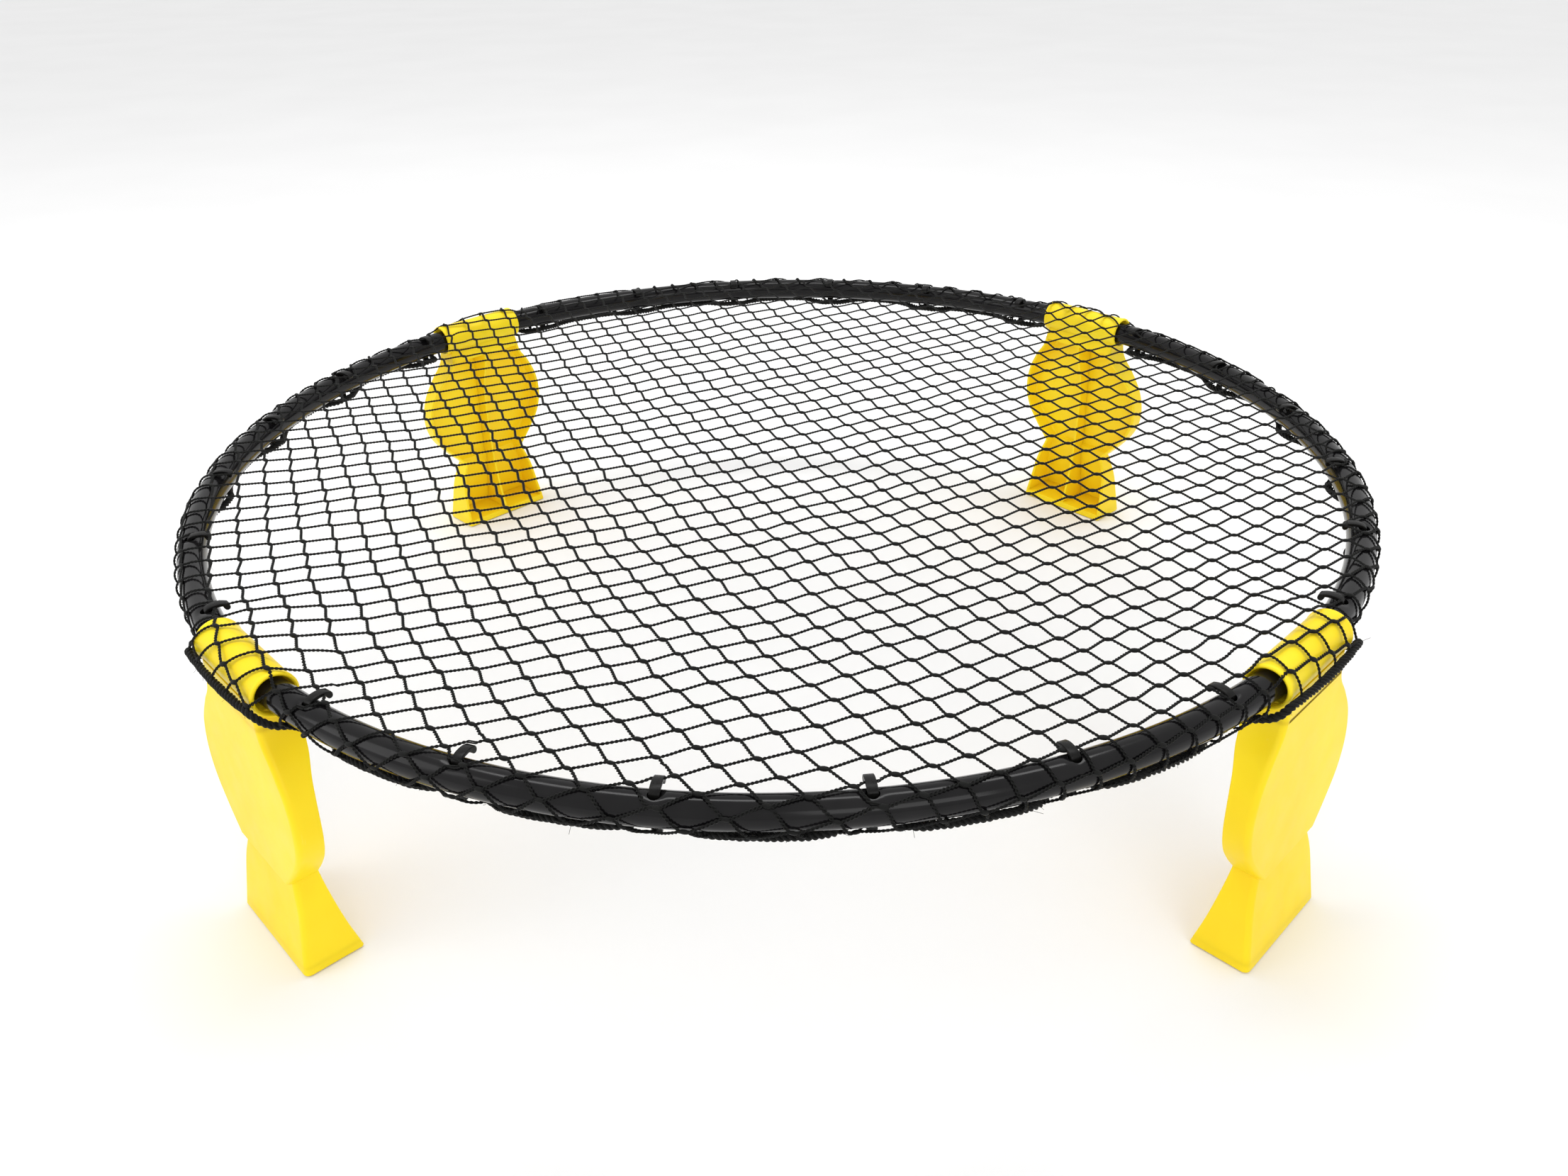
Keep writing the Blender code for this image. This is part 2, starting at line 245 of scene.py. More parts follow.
def hook_plastic():
    n = Nodes("hook_plastic")
    cloud = n.noise(180.0, 3.0, 0.6)
    n.link(n.colours(cloud, [(0.3, (0.0032, 0.0031, 0.0030)), (0.75, (0.0085, 0.0080, 0.0075))]), "Base Color")
    n.link(n.spread(n.noise(700.0, 2.0), 0.3, 0.7, 0.24, 0.42), "Roughness")
    n.link(n.bump(n.noise(1600.0, 2.0), 0.25, 0.00012), "Normal")
    n.set(Specular_IOR_Level=0.14)
    return n.material


def black_fibre(name, fibre_scale, sheen):
    """Spun polyester: dull black with lighter fibres and a fine rough surface."""
    n = Nodes(name)
    fibre = n.noise(fibre_scale, 3.0, 0.65)
    faded = n.noise(14.0, 2.0, 0.5)
    dark = n.colours(fibre, [(0.32, (0.0022, 0.0023, 0.0022)), (0.55, (0.0050, 0.0052, 0.0048)),
                             (0.78, (0.017, 0.0175, 0.016))])
    n.link(n.mix(n.spread(faded, 0.4, 0.75, 0.0, 0.35), dark, (0.010, 0.010, 0.009, 1)), "Base Color")
    n.link(n.spread(fibre, 0.3, 0.75, 0.48, 0.74), "Roughness")
    n.link(n.bump(fibre, 0.85, 0.00025), "Normal")
    n.set(Specular_IOR_Level=0.14, Sheen_Weight=sheen, Sheen_Roughness=0.45)
    return n.material


def dark_inside():
    n = Nodes("spigot_plastic")
    n.link(n.spread(n.noise(90.0, 2.0), 0.3, 0.7, 0.35, 0.5), "Roughness")
    cloud = n.noise(60.0, 2.0)
    n.link(n.colours(cloud, [(0.3, (0.010, 0.010, 0.010)), (0.7, (0.016, 0.016, 0.016))]), "Base Color")
    return n.material


YELLOW, BLACK, HOOK = yellow_moulding(), black_tube(), hook_plastic()
NETTING, ROPE = black_fibre("netting_fibre", 2300.0, 0.03), black_fibre("rope_fibre", 1500.0, 0.06)
SPIGOT = dark_inside()


# ---------------------------------------------------------------- the net's surface

def nearest(angles, spots):
    gap = np.abs((angles[:, None] - spots[None, :] + pi) % (2 * pi) - pi)
    return gap.min(axis=1)


def at_leg(angles, spare=0.0085, soft=0.0022):
    return 1 / (1 + np.exp(np.clip((nearest(angles, LEG_ANGLES) * RING_R - SLEEVE_HALF - spare) / soft, -60, 60)))


def cord_place(angles):
    """The edge cord, as (turn round the tube, distance from the tube's centre)."""
    leg = at_leg(angles)
    hook = np.exp(-((nearest(angles, HOOK_ANGLES) * RING_R / 0.019) ** 2)) * (1 - leg)
    between = -72 + 8 * np.sin(5 * angles + 1.0) * (1 - hook) * (1 - leg)
    turn = np.radians(between - 46 * hook + 66 * leg)
    away = TUBE_R + CORD_R + 3 * CLEAR + hook * 0.0010 + leg * 0.0056
    return turn, away


def around(angles, turn, away):
    """A point round the tube, and the direction out of the tube there."""
    out = np.stack([np.cos(turn) * np.cos(angles), np.cos(turn) * np.sin(angles), np.sin(turn)], -1)
    centre = np.stack([RING_R * np.cos(angles), RING_R * np.sin(angles), np.full_like(angles, RIM_Z)], -1)
    return centre + out * away[:, None], out


NET_GAP = 0.0011  # from what the net lies on to a strand's centre
RISE = 0.075  # how far inside the hoop the net starts to climb to a sleeve
SAG, WAVE = 0.0022, 0.0005


def support(angles):
    return TUBE_R + NET_GAP + at_leg(angles, 0.001, 0.0022) * (SLEEVE_R - TUBE_R + 0.0005)


def net_edge(angles):
    """Distance from the net's centre to its edge, measured along the net."""
    turn, _ = cord_place(angles)
    return RING_R + support(angles) * (pi / 2 - turn)


def net_surface(flat):
    """Takes points of the net laid flat to their places on the hoop, and gives the directions up from there."""
    angles = np.arctan2(flat[:, 1], flat[:, 0])
    far = np.hypot(flat[:, 0], flat[:, 1])
    rest = support(angles)
    turn_end, away_end = cord_place(angles)
    share = np.clip((far - RING_R) / (rest * (pi / 2 - turn_end)), 0, 1.0)
    turn = pi / 2 - np.clip(far - RING_R, 0, None) / rest
    away = rest + (away_end - rest) * share ** 3
    wrapped, out = around(angles, turn, away)
    climb = (rest - TUBE_R - NET_GAP) * ramp(far, RING_R - RISE, RING_R)
    wave = WAVE * np.sin(flat[:, 0] * 31 + 1.1) * np.sin(flat[:, 1] * 27 + 0.4)
    sag = -SAG * np.clip(1 - (far / RING_R) ** 2, 0, 1)
    inside = np.stack([flat[:, 0], flat[:, 1], RIM_Z + TUBE_R + NET_GAP + climb + sag + wave], -1)
    up = np.tile([0.0, 0.0, 1.0], (len(flat), 1))
    over = (far > RING_R)[:, None]
    return np.where(over, wrapped, inside), np.where(over, out, up)


# ---------------------------------------------------------------- netting

NET_START = (0.0013, 0.0021)
LATTICE = 34
JOIN = 0.0015  # half the length for which two strands run together at a crossing
STRAND_STEP = 0.0008
PULL, JITTER = 0.0009, 0.00035  # how far crossings stray together, and one by one
SHORTEST_RUN = 12  # in strand steps
STITCH = 0.0024
PLY_R, PLY_SIDE, PLY_DEPTH = 0.00058, 0.00064, 0.00028
JOIN_R, JOIN_REACH, JOIN_WIDE, JOIN_HIGH = 0.00132, 0.0027, 1.18, 0.9
JOIN_PLACES = [-1.0, -0.8, -0.4, 0.0, 0.4, 0.8, 1.0]
JOIN_GIRTH = [0.25, 0.72, 0.93, 1.0, 0.93, 0.72, 0.25]


def mesh_steps(x, y):
    """The net's two steps at a point. The mesh lies on the bias and is pulled unevenly by the hooks."""
    right, back = x / RING_R, y / RING_R
    row = radians(24 + 11 * right + 5 * back - 19 * right * back)
    column = radians(-62 + 7 * right - 8 * back - 14 * right * back)
    row_pitch = 0.0215 + 0.0012 * right + 0.0010 * back
    column_pitch = 0.0208 - 0.0022 * right + 0.0027 * back
    return (row_pitch * np.array([cos(row), sin(row)]), column_pitch * np.array([cos(column), sin(column)]))


def step_from(point, which, way):
    half = mesh_steps(*point)[which] * way / 2
    return point + mesh_steps(*(point + half))[which] * way


def lattice():
    """Crossing (i, j) of the net laid flat, for i and j from -LATTICE to LATTICE."""
    size = 2 * LATTICE + 1
    spots = np.zeros((size, size, 2))
    order = sorted(((i, j) for i in range(-LATTICE, LATTICE + 1) for j in range(-LATTICE, LATTICE + 1)),
                   key=lambda ij: (abs(ij[0]) + abs(ij[1]), ij))
    for i, j in order:
        ways = []
        if i:
            ways.append(step_from(spots[i - np.sign(i) + LATTICE, j + LATTICE], 0, np.sign(i)))
        if j:
            ways.append(step_from(spots[i + LATTICE, j - np.sign(j) + LATTICE], 1, np.sign(j)))
        spots[i + LATTICE, j + LATTICE] = np.mean(ways, axis=0) if ways else NET_START
    x, y = spots[..., 0], spots[..., 1]
    pulled = np.stack([np.sin(x * 47 + y * 21 + 0.6) + np.sin(y * 69 - x * 17 + 2.2),
                       np.sin(y * 43 - x * 29 + 4.0) + np.sin(x * 73 + y * 11 + 1.3)], -1)
    return spots + PULL * pulled + RANDOM.normal(0, JITTER, spots.shape)


def rounded(points, step):
    """Samples a Catmull-Rom curve through the points about one step apart."""
    padded = np.concatenate([points[:1] * 2 - points[1:2], points, points[-1:] * 2 - points[-2:-1]])
    line = []
    for k in range(1, len(padded) - 2):
        a, b, c, d = padded[k - 1:k + 3]
        count = max(2, int(round(np.linalg.norm(c - b) / step)))
        t = (np.arange(count) / count)[:, None]
        reach = np.linalg.norm(c - b)
        m1, m2 = unit(c - a) * reach, unit(d - b) * reach
        line.append((2 * t**3 - 3 * t**2 + 1) * b + (t**3 - 2 * t**2 + t) * m1
                    + (3 * t**2 - 2 * t**3) * c + (t**3 - t**2) * m2)
    return np.concatenate(line + [padded[-2:-1]])


def inside_runs(flat):
    angles = np.arctan2(flat[:, 1], flat[:, 0])
    held = np.hypot(flat[:, 0], flat[:, 1]) < net_edge(angles)
    edges = np.flatnonzero(np.diff(np.concatenate([[0], held.astype(int), [0]])))
    return [(a, b) for a, b in zip(edges[::2], edges[1::2]) if (b - a) > SHORTEST_RUN]


def part_for_hooks(flat):
    """Moves strands off the hooks' stems, to one side or the other."""
    angles = np.arctan2(flat[:, 1], flat[:, 0])
    far = np.hypot(flat[:, 0], flat[:, 1])
    gap = (angles[:, None] - HOOK_ANGLES[None, :] + pi) % (2 * pi) - pi
    off = gap[np.arange(len(gap)), np.abs(gap).argmin(axis=1)] * RING_R
    near = np.exp(-(((far - RING_R + 0.004) / 0.014) ** 2))
    shift = np.where(off < 0, -1, 1) * 0.0036 * np.exp(-((off / 0.0055) ** 2)) * near
    angles = angles + shift / RING_R
    return np.stack([far * np.cos(angles), far * np.sin(angles)], -1)


def strand(control, quick):
    """One strand's two plies wherever it lies inside the net's edge."""
    flat = part_for_hooks(rounded(control, STRAND_STEP * (2.5 if quick else 1)))
    parts = []
    for a, b in inside_runs(flat):
        path, up = net_surface(flat[a:b])
        along = unit(np.gradient(path, axis=0))
        across = unit(np.cross(up, along))
        above = np.cross(along, across)
        run = np.concatenate([[0], np.cumsum(np.linalg.norm(np.diff(path, axis=0), axis=1))])
        wobble = 0.35 * np.sin(run * 190 + control[0, 0] * 900)
        for ply in (0, pi):
            phase = pi * run / STITCH + wobble + ply
            beside, over = (PLY_SIDE * np.sin(phase))[:, None], (PLY_DEPTH * np.cos(phase))[:, None]
            centre = path + across * beside + above * over
            parts.append(sweep(centre, across, above, PLY_R, 4))
    return parts


def crossing_joins(spots, lean):
    """The short thick places where two strands are worked together."""
    flat = part_for_hooks(spots)
    angles = np.arctan2(flat[:, 1], flat[:, 0])
    keep = np.hypot(flat[:, 0], flat[:, 1]) < net_edge(angles) - 0.002
    flat, lean = flat[keep], lean[keep]
    middle, up = net_surface(flat)
    ahead, _ = net_surface(flat + lean * 0.001)
    along = unit(ahead - middle)
    across = unit(np.cross(up, along))
    places, girth = np.array(JOIN_PLACES), np.array(JOIN_GIRTH)
    sides = 8
    turn = 2 * pi * np.arange(sides) / sides
    parts = []
    for m, t, s, u in zip(middle, along, across, up):
        size = RANDOM.uniform(0.9, 1.12)
        path = m + t * (places * JOIN_REACH * size)[:, None]
        ring = np.cos(turn)[None, :, None] * s * JOIN_WIDE + np.sin(turn)[None, :, None] * u * JOIN_HIGH
        verts = (path[:, None, :] + ring * (girth * JOIN_R * size)[:, None, None]).reshape(-1, 3)
        i = np.arange(len(places) - 1)[:, None] * sides
        k, q = np.arange(sides)[None, :], ((np.arange(sides) + 1) % sides)[None, :]
        quads = np.stack([i + k, i + q, i + sides + q, i + sides + k], -1).reshape(-1, 4)
        ends = np.array([[3, 2, 1, 0], [7, 4, 3, 0], [7, 6, 5, 4]])
        parts.append((verts, np.concatenate([quads, ends, ends[:, ::-1] + sides * (len(places) - 1)])))
    return parts


def make_netting():
    spots = lattice()
    rows = np.gradient(spots, axis=0)
    columns = np.gradient(spots, axis=1)
    lean = unit(rows + columns)
    before, after = spots - lean * JOIN, spots + lean * JOIN
    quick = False
    parts = []
    for k in range(spots.shape[0]):
        for first, second in ((before[:, k], after[:, k]), (before[k], after[k])):
            control = np.stack([first, second], 1).reshape(-1, 2)
            parts += strand(control, quick)
    parts += crossing_joins(spots.reshape(-1, 2), lean.reshape(-1, 2))
    return quad_object("netting", *gather(parts), NETTING)


# ---------------------------------------------------------------- edge rope

def rope_frame(angles):
    turn, away = cord_place(angles)
    path, out = around(angles, turn, away)
    along = unit(np.roll(path, -1, 0) - np.roll(path, 1, 0))
    across = unit(np.cross(out, along))
    return path, across, np.cross(along, across)


ROPE_LAY = 0.0105  # length of one turn of the rope's plies


def make_rope():
    """Three twisted plies round the net's edge."""
    count = 4200
    angles = 2 * pi * np.arange(count) / count
    path, across, above = rope_frame(angles)
    run = np.concatenate([[0], np.cumsum(np.linalg.norm(np.diff(path, axis=0), axis=1))])
    turns = round(run[-1] / ROPE_LAY)
    parts = []
    for ply in range(3):
        phase = 2 * pi * turns * run / (run[-1] + run[1]) + 2 * pi * ply / 3
        thick = 0.00150 + 0.00012 * np.sin(run * 210 + ply * 2) + 0.00008 * np.sin(run * 577 + ply)
        swell = 0.00125 + 0.00015 * np.sin(run * 83)
        centre = path + across * (swell * np.cos(phase))[:, None] + above * (swell * np.sin(phase))[:, None]
        parts.append(sweep(centre, across, above, thick, 8, closed=True))
    return quad_object("edge_rope", *gather(parts), ROPE)


HAIRS, HAIR_R = 260, 0.00011


def make_hairs():
    """Loose fibres that stand out of the rope."""
    parts = []
    for _ in range(HAIRS):
        angles = RANDOM.uniform(0, 2 * pi) + np.array([0.0, 0.002])
        path, across, above = rope_frame(angles)
        turn = RANDOM.uniform(0, 2 * pi)
        out = cos(turn) * across[0] + sin(turn) * above[0]
        lean = unit(out + RANDOM.normal(0, 0.5, 3))
        length = RANDOM.uniform(0.003, 0.0075)
        t = np.linspace(0, 1, 6)[:, None]
        line = path[0] + out * 0.0022 + lean * length * t + RANDOM.normal(0, 0.0011, 3) * t**2
        parts.append(sweep(line, np.tile([1.0, 0, 0], (6, 1)), np.tile([0, 0.7, 0.7], (6, 1)), HAIR_R, 4))
    return quad_object("rope_fibres", *gather(parts), ROPE)


KNOT_ASIDE = 0.125  # angle round the hoop from a sleeve's middle to its knot


def make_knot(index, angle):
    """A lumpy overhand knot in the rope beside a sleeve, with two short frayed tails."""
    turn, away = cord_place(np.array([angle]))
    place, out = around(np.array([angle]), turn, away)
    t = np.linspace(0, 2 * pi, 120, endpoint=False)
    along = np.array([-sin(angle), cos(angle), 0.0])
    out, up = out[0], np.cross(out[0], along)
    size = 0.0031
    a, b, c = np.sin(t) + 2 * np.sin(2 * t), np.cos(t) - 2 * np.cos(2 * t), -np.sin(3 * t)
    path = place[0] + size * (0.62 * a[:, None] * up + 0.62 * b[:, None] * along + 0.55 * c[:, None] * out)
    tangent = unit(np.roll(path, -1, 0) - np.roll(path, 1, 0))
    across = unit(np.cross(tangent, out + 0.3 * up))
    parts = [sweep(path, across, np.cross(tangent, across), 0.00165 + 0.0002 * np.sin(9 * t), 8, closed=True)]
    for way in (-1, 1):
        s = np.linspace(0, 1, 14)[:, None]
        down = np.array([0.0, 0.0, -1.0])
        tail = place[0] + way * along * 0.004 * s + down * 0.013 * s + out * 0.002 * np.sin(s * 3)
        side = np.tile(along, (14, 1))
        parts.append(sweep(tail, side, np.tile(out, (14, 1)), 0.0014 - 0.0004 * s[:, 0], 4))
    return quad_object(f"rope_knot_{index}", *gather(parts), ROPE)


# ---------------------------------------------------------------- tube

def make_tube(index):
    """A quarter of the hoop with a dimple pressed in round each hook's hole."""
    steps, sides = ((330, 40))
    half = pi / SECTIONS - JOINT_GAP / 2 / RING_R
    middle = index * pi / 2
    angles = middle + np.linspace(-half, half, steps + 1)
    turn = 2 * pi * np.arange(sides) / sides
    verts = []
    for inner in (0, 1):
        for a in (angles if not inner else angles[::-1]):
            for p in turn:
                radius = TUBE_R - TUBE_WALL * inner
                off = np.abs((a - HOOK_ANGLES + pi) % (2 * pi) - pi).min() * RING_R
                for pole in (pi / 2, -pi / 2):
                    away = np.hypot(off, TUBE_R * ((p - pole + pi) % (2 * pi) - pi))
                    radius -= (0.0009 if pole > 0 else 0.0003) * np.exp(-((away / 0.0052) ** 4))
                out = RING_R + radius * cos(p)
                verts.append((cos(a) * out, sin(a) * out, RIM_Z + radius * sin(p)))
    rings = 2 * (steps + 1)
    faces = []
    for i in range(rings):
        j = (i + 1) % rings
        for k in range(sides):
            m = (k + 1) % sides
            faces.append((i * sides + k, i * sides + m, j * sides + m, j * sides + k))
    tube = new_object(f"tube_{index + 1}", verts, faces, BLACK)
    flip_if_inside_out(tube)
    for number, angle in enumerate(HOOK_ANGLES[index * HOOKS_PER_SECTION:(index + 1) * HOOKS_PER_SECTION]):
        work = bmesh.new()
        bmesh.ops.create_cone(work, cap_ends=True, segments=24, radius1=HOOK_HOLE_R, radius2=HOOK_HOLE_R,
                              depth=4 * TUBE_R)
        mesh = bpy.data.meshes.new("hole")
        work.to_mesh(mesh)
        work.free()
        cutter = bpy.data.objects.new("hole", mesh)
        bpy.context.scene.collection.objects.link(cutter)
        cutter.location = (RING_R * cos(angle), RING_R * sin(angle), RIM_Z)
        modifier = tube.modifiers.new(f"hole_{number}", "BOOLEAN")
        modifier.operation, modifier.object = "DIFFERENCE", cutter
        bpy.context.view_layer.update()
        bake(tube)
        bpy.data.objects.remove(cutter, do_unlink=True)
    smooth(tube, 45)
    return tube


def flip_if_inside_out(item):
    work = bmesh.new()
    work.from_mesh(item.data)
    bmesh.ops.recalc_face_normals(work, faces=work.faces)
    work.to_mesh(item.data)
    work.free()


def bake(item):
    """Applies the modifiers of item."""
    graph = bpy.context.evaluated_depsgraph_get()
    mesh = bpy.data.meshes.new_from_object(item.evaluated_get(graph))
    item.modifiers.clear()
    item.data = mesh


def smooth(item, angle):
    item.data.shade_smooth()
    item.data.set_sharp_from_angle(angle=radians(angle))


# ---------------------------------------------------------------- hooks

def hook_outline():
    half, hollow_r = HOOK_THICK / 2, CROWN_R - HOOK_THICK
    turns = np.radians(np.arange(0, 141, 10))
    outer = [(CROWN_R - half - CROWN_R * cos(a), CROWN_Z + CROWN_R * CROWN_RISE * sin(a)) for a in turns]
    inner = [(CROWN_R - half - hollow_r * cos(a), CROWN_Z + hollow_r * HOLLOW_RISE * sin(a)) for a in turns[::-1]]
    tip = [(HOOK_REACH - back, CROWN_Z + rise) for back, rise in (
        (0.0008, 0.0013), (0.0001, 0.0001), (0.0, -0.0013), (0.0005, -0.0024), (0.0017, -0.0030),
        (0.0030, -0.0026), (0.0037, -0.0017))]
    return [(-half, -HOOK_TAB), (-half, 0.0)] + outer + tip + inner + [(half, 0.0), (half, -HOOK_TAB)]


def make_hooks():
    """One moulded hook with rounded edges, shared by all."""
    curve = bpy.data.curves.new("hook_shape", "CURVE")
    curve.dimensions = "2D"
    curve.fill_mode = "BOTH"
    edge = 0.0005
    curve.extrude, curve.bevel_depth, curve.bevel_resolution, curve.offset = HOOK_WIDTH / 2 - edge, edge, 2, -edge
    spline = curve.splines.new("POLY")
    points = hook_outline()
    spline.points.add(len(points) - 1)
    for spot, (x, y) in zip(spline.points, points):
        spot.co = (x, y, 0, 1)
    spline.use_cyclic_u = True
    shape = bpy.data.objects.new("hook_shape", curve)
    bpy.context.scene.collection.objects.link(shape)
    bpy.context.view_layer.update()
    mesh = bpy.data.meshes.new_from_object(shape.evaluated_get(bpy.context.evaluated_depsgraph_get()))
    bpy.data.objects.remove(shape, do_unlink=True)
    mesh.materials.clear()
    mesh.materials.append(HOOK)
    mesh.shade_smooth()
    mesh.set_sharp_from_angle(angle=radians(50))
    for number, angle in enumerate(HOOK_ANGLES):
        hook = bpy.data.objects.new(f"claw_{number + 1:02d}", mesh)
        bpy.context.scene.collection.objects.link(hook)
        inward, up = Vector((-cos(angle), -sin(angle), 0)), Vector((0, 0, 1))
        turn = Matrix((inward, up, inward.cross(up))).transposed().to_4x4()
        hook.matrix_world = Matrix.Translation((RING_R * cos(angle), RING_R * sin(angle), RIM_Z)) @ turn
        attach(hook, "hoop")
        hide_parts(f"hook_{number + 1:02d}")


# ---------------------------------------------------------------- legs

def along_line(points, z, smooth_it=True):
    """The line's first coordinate at height z."""
    points = np.array(points)
    if smooth_it:
        points = rounded(points, 0.0015)
    return np.interp(z, points[:, 1], points[:, 0])


def half_width(z):
    return np.where(z < NOTCH_Z, along_line(FOOT_OUTLINE, z), along_line(BODY_OUTLINE, z))


def outer_face(z):
    return along_line(OUTER_FACE, z, False)


def inner_face(z):
    return along_line(INNER_FACE, z)


def corner(cx, cy, radius, start, end, count=7):
    turn = np.radians(np.linspace(start, end, count))
    return [(cx + radius * cos(t), cy + radius * sin(t)) for t in turn]


def channel_section(z, inset=0.0):
    """The leg cut across at height z: a channel open to the inside, with rounded corners and lips."""
    w, far, near = half_width(z) - inset, outer_face(z) - inset, inner_face(z)
    r, f, lip = 0.0042, 0.0022, 0.0012
    outside = corner(w - r, far - r, r, 0, 90) + corner(-w + r, far - r, r, 90, 180)
    left_lip = corner(-w + lip, near + lip, lip, 180, 360, 7)
    wall = WALL
    left_lip = [(x + (wall - 2 * lip) * (x > -w + lip), y) for x, y in left_lip]
    inside = corner(-w + wall + f, far - wall - f, f, 180, 90) + corner(w - wall - f, far - wall - f, f, 90, 0)
    right_lip = [(-x, y) for x, y in reversed(left_lip)]
    return outside + left_lip + inside + right_lip


def solid_section(z, inset=0.0):
    w, far, near = half_width(z) - inset, outer_face(z) - inset, inner_face(z) + inset
    r, q = 0.0042, 0.0018
    return (corner(w - r, far - r, r, 0, 90) + corner(-w + r, far - r, r, 90, 180)
            + corner(-w + q, near + q, q, 180, 270) + corner(w - q, near + q, q, 270, 360))


def loft(sections, cap=True):
    """(verts, faces) through closed sections of (x, y, z) points."""
    n = len(sections[0])
    verts = [point for section in sections for point in section]
    faces = [(i * n + k, i * n + (k + 1) % n, (i + 1) * n + (k + 1) % n, (i + 1) * n + k)
             for i in range(len(sections) - 1) for k in range(n)]
    if cap:
        faces += [tuple(range(n))[::-1], tuple((len(sections) - 1) * n + k for k in range(n))]
    return verts, faces


def lifted(section, z):
    return [(x, y, z) for x, y in section]


def neck_top(y):
    """Where the neck ends, in the middle of the sleeve's wall."""
    reach = (SLEEVE_R + BORE_R) / 2
    off = y - HINGE_R
    if abs(off) < reach:
        return RIM_Z - (reach**2 - off**2) ** 0.5
    return 0.2045


def leg_parts():
    """The leg in its own frame: x along the tube, y out from the centre of the hoop, z up."""
    pieces = []
    foot = [(0.0, 0.0012), (0.0003, 0.0005), (0.0012, 0.0), (2 * WALL, 0.0)]
    pieces.append(loft([lifted(solid_section(max(z, 0.0), inset), z) for z, inset in foot]))
    levels = list(np.linspace(2 * WALL, NOTCH_Z - 0.0004, 26))
    levels += list(NOTCH_Z + np.array([0.0, 0.0004, 0.0009, 0.0015]))
    levels += list(np.linspace(NOTCH_Z + 0.004, NECK_Z, 44))
    pieces.append(loft([lifted(channel_section(z), z) for z in levels]))
    neck = [lifted(solid_section(z), z) for z in np.linspace(NECK_Z - 0.002, NECK_Z + 0.001, 4)]
    last = solid_section(NECK_Z + 0.001)
    tops = solid_section(0.204)
    for t in (0.35, 0.7, 1.0):
        ring = []
        for (x0, y0), (x1, y1) in zip(last, tops):
            x, y = x0 + (x1 - x0) * t, y0 + (y1 - y0) * t
            ring.append((x, y, NECK_Z + 0.001 + (neck_top(y1) - NECK_Z - 0.001) * t))
        neck.append(ring)
    pieces.append(loft(neck))
    heights = np.linspace(WALL, NECK_Z, 50)
    inner = [(float(inner_face(z)) + 0.0014, z) for z in heights]
    outer = [(float(outer_face(z)) - WALL / 2, z) for z in heights[::-1]]
    outline = inner + outer
    pieces.append(loft([[(dx, y, z) for y, z in outline] for dx in (-0.0011, 0.0011)]))
    return pieces


def sleeve_rings():
    """The sleeve's profile as (along, radius): a plain barrel with a thick rounded lip at each end."""
    h = SLEEVE_HALF
    end = [(h - 0.0040, BORE_R), (h - 0.0012, BORE_R + 0.0001), (h - 0.0004, BORE_R + 0.0005),
           (h, BORE_R + 0.0013), (h, LIP_R - 0.0012), (h - 0.0004, LIP_R - 0.0004), (h - 0.0012, LIP_R), (h - 0.0028, LIP_R),
           (h - 0.0042, LIP_R - 0.0004), (h - 0.0056, SLEEVE_R + 0.0002), (h - 0.0080, SLEEVE_R)]
    far = [(-u, r) for u, r in reversed(end)]
    middle = [(u, SLEEVE_R) for u in np.linspace(h - 0.014, -h + 0.014, 8)]
    return end + middle + far


def make_leg_mesh():
    verts, faces = [], []
    for piece_verts, piece_faces in leg_parts():
        start = len(verts)
        verts += [(y - HINGE_R, x, z - RIM_Z) for x, y, z in piece_verts]
        faces += [tuple(start + k for k in face) for face in piece_faces]
    profile, sides, start = sleeve_rings(), 64, len(verts)
    for u, r in profile:
        verts += [(r * cos(2 * pi * k / sides), u, r * sin(2 * pi * k / sides)) for k in range(sides)]
    for i in range(len(profile)):
        j = (i + 1) % len(profile)
        faces += [(start + i * sides + k, start + i * sides + (k + 1) % sides,
                   start + j * sides + (k + 1) % sides, start + j * sides + k) for k in range(sides)]
    mesh = bpy.data.meshes.new("leg_moulding")
    mesh.from_pydata(verts, [], faces)
    work = bmesh.new()
    work.from_mesh(mesh)
    bmesh.ops.recalc_face_normals(work, faces=work.faces)
    work.to_mesh(mesh)
    work.free()
    mesh.shade_smooth()
    mesh.set_sharp_from_angle(angle=radians(38))
    mesh.materials.append(YELLOW)
    return mesh


def make_legs():
    mesh = make_leg_mesh()
    for index, angle in enumerate(LEG_ANGLES):
        leg = bpy.data.objects.new(f"leg_moulding_{index + 1}", mesh)
        bpy.context.scene.collection.objects.link(leg)
        leg.modifiers.new("even_shading", "WEIGHTED_NORMAL").keep_sharp = True
        leg.location = (HINGE_R * cos(angle), HINGE_R * sin(angle), RIM_Z)
        leg.rotation_euler.z = angle
        bpy.context.view_layer.update()
        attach(leg, f"leg_{index + 1}")
        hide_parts(f"leg_{index + 1}")


# ---------------------------------------------------------------- studio

def make_camera():
    """Looks down at the hoop from in front, a little above and to one side of its middle."""
    place = Vector((0.0207, -0.9132, 0.6214))
    yaw, pitch, roll = -0.0178, radians(30.77), -0.0178
    forward = Vector((sin(yaw) * cos(pitch), cos(yaw) * cos(pitch), -sin(pitch)))
    right = Vector((cos(yaw), -sin(yaw), 0))
    up = right.cross(forward)
    across = right * cos(roll) + up * sin(roll)
    above = up * cos(roll) - right * sin(roll)
    camera = bpy.data.objects.new("camera", bpy.data.cameras.new("camera"))
    bpy.context.scene.collection.objects.link(camera)
    camera.data.sensor_width, camera.data.lens = 36.0, 27.72
    camera.matrix_world = Matrix.Translation(place) @ Matrix((across, above, -forward)).transposed().to_4x4()
    bpy.context.scene.camera = camera


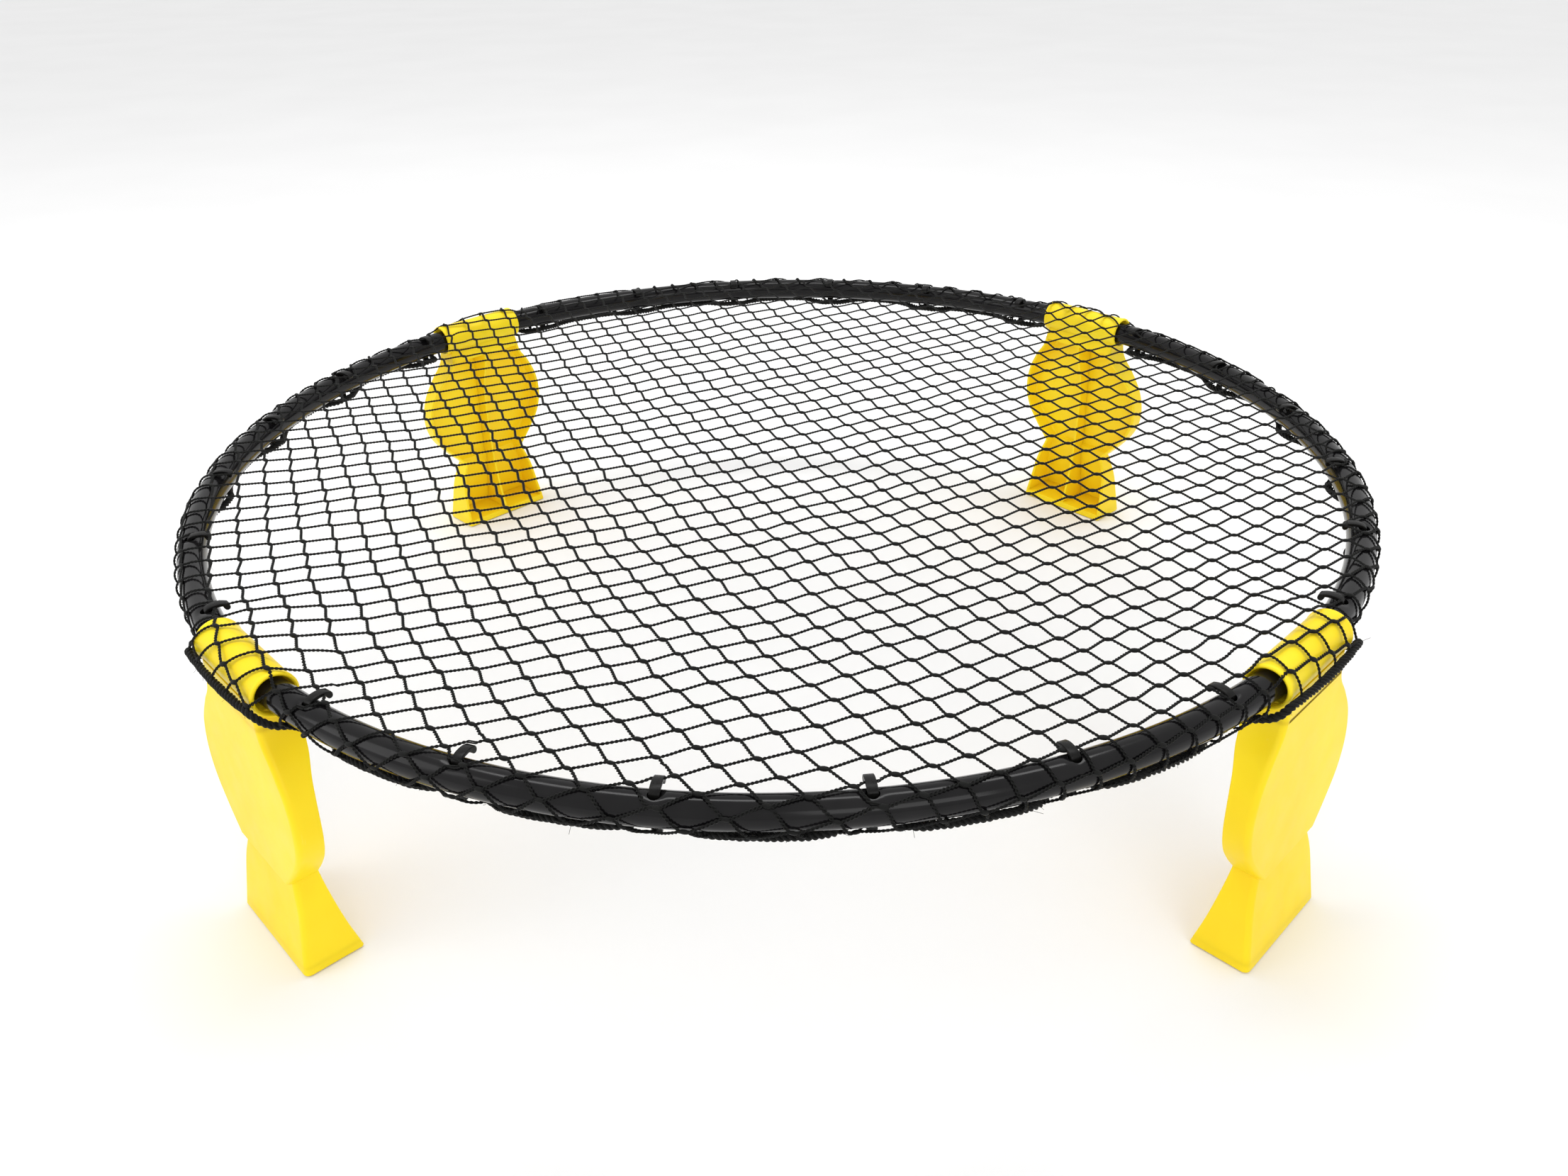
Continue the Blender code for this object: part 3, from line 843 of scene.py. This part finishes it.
def add_light(name, place, target, size, energy):
    data = bpy.data.lights.new(name, "AREA")
    data.shape, data.size, data.size_y, data.energy = "RECTANGLE", size[0], size[1], energy
    lamp = bpy.data.objects.new(name, data)
    bpy.context.scene.collection.objects.link(lamp)
    lamp.location = place
    lamp.rotation_euler = (Vector(target) - Vector(place)).to_track_quat("-Z", "Y").to_euler()


FLOOR_HALF, FLOOR_Z = 40, -0.0006


def make_studio():
    n = Nodes("studio_floor")
    n.link(n.colours(n.noise(3.0, 2.0), [(0.3, (0.86, 0.86, 0.86)), (0.7, (0.88, 0.88, 0.88))]), "Base Color")
    n.set(Roughness=0.85, Specular_IOR_Level=0.15)
    corners = [(x * FLOOR_HALF, y * FLOOR_HALF, FLOOR_Z) for x, y in ((-1, -1), (1, -1), (1, 1), (-1, 1))]
    floor = new_object("studio_floor", corners, [(0, 1, 2, 3)], n.material)
    world = bpy.data.worlds.new("studio")
    world.use_nodes = True
    world.node_tree.nodes["Background"].inputs["Color"].default_value = (1, 1, 1, 1)
    world.node_tree.nodes["Background"].inputs["Strength"].default_value = 0.95
    bpy.context.scene.world = world
    bpy.context.scene.view_settings.view_transform = "Standard"
    add_light("overhead", (0.0, 0.6, 2.6), (0, 0, 0.1), (2.6, 0.5), 26)
    add_light("left", (-2.4, -1.0, 1.6), (0, 0, 0.1), (1.2, 1.8), 12)
    add_light("front", (1.0, -2.8, 1.8), (0, 0, 0.1), (1.6, 1.2), 14)


# ---------------------------------------------------------------- assembly

make_camera()
make_studio()
make_hooks()
make_legs()
for number in range(SECTIONS):
    section = make_tube(number)
    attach(section, "hoop")
    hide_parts(f"rim_section_{number + 1}")
    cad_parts[f"rim_spigot_{number + 1}"].data.materials.clear()
    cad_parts[f"rim_spigot_{number + 1}"].data.materials.append(SPIGOT)

netting, rope, hairs = make_netting(), make_rope(), make_hairs()
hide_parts("net")
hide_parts("edge_cord")
for piece, slot in ((netting, "netting"), (rope, "cord"), (hairs, "cord")):
    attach(piece, "hoop")
knots = [make_knot(1, LEG_ANGLES[2] - KNOT_ASIDE), make_knot(2, LEG_ANGLES[3] + KNOT_ASIDE)]
for knot in knots:
    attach(knot, "hoop")
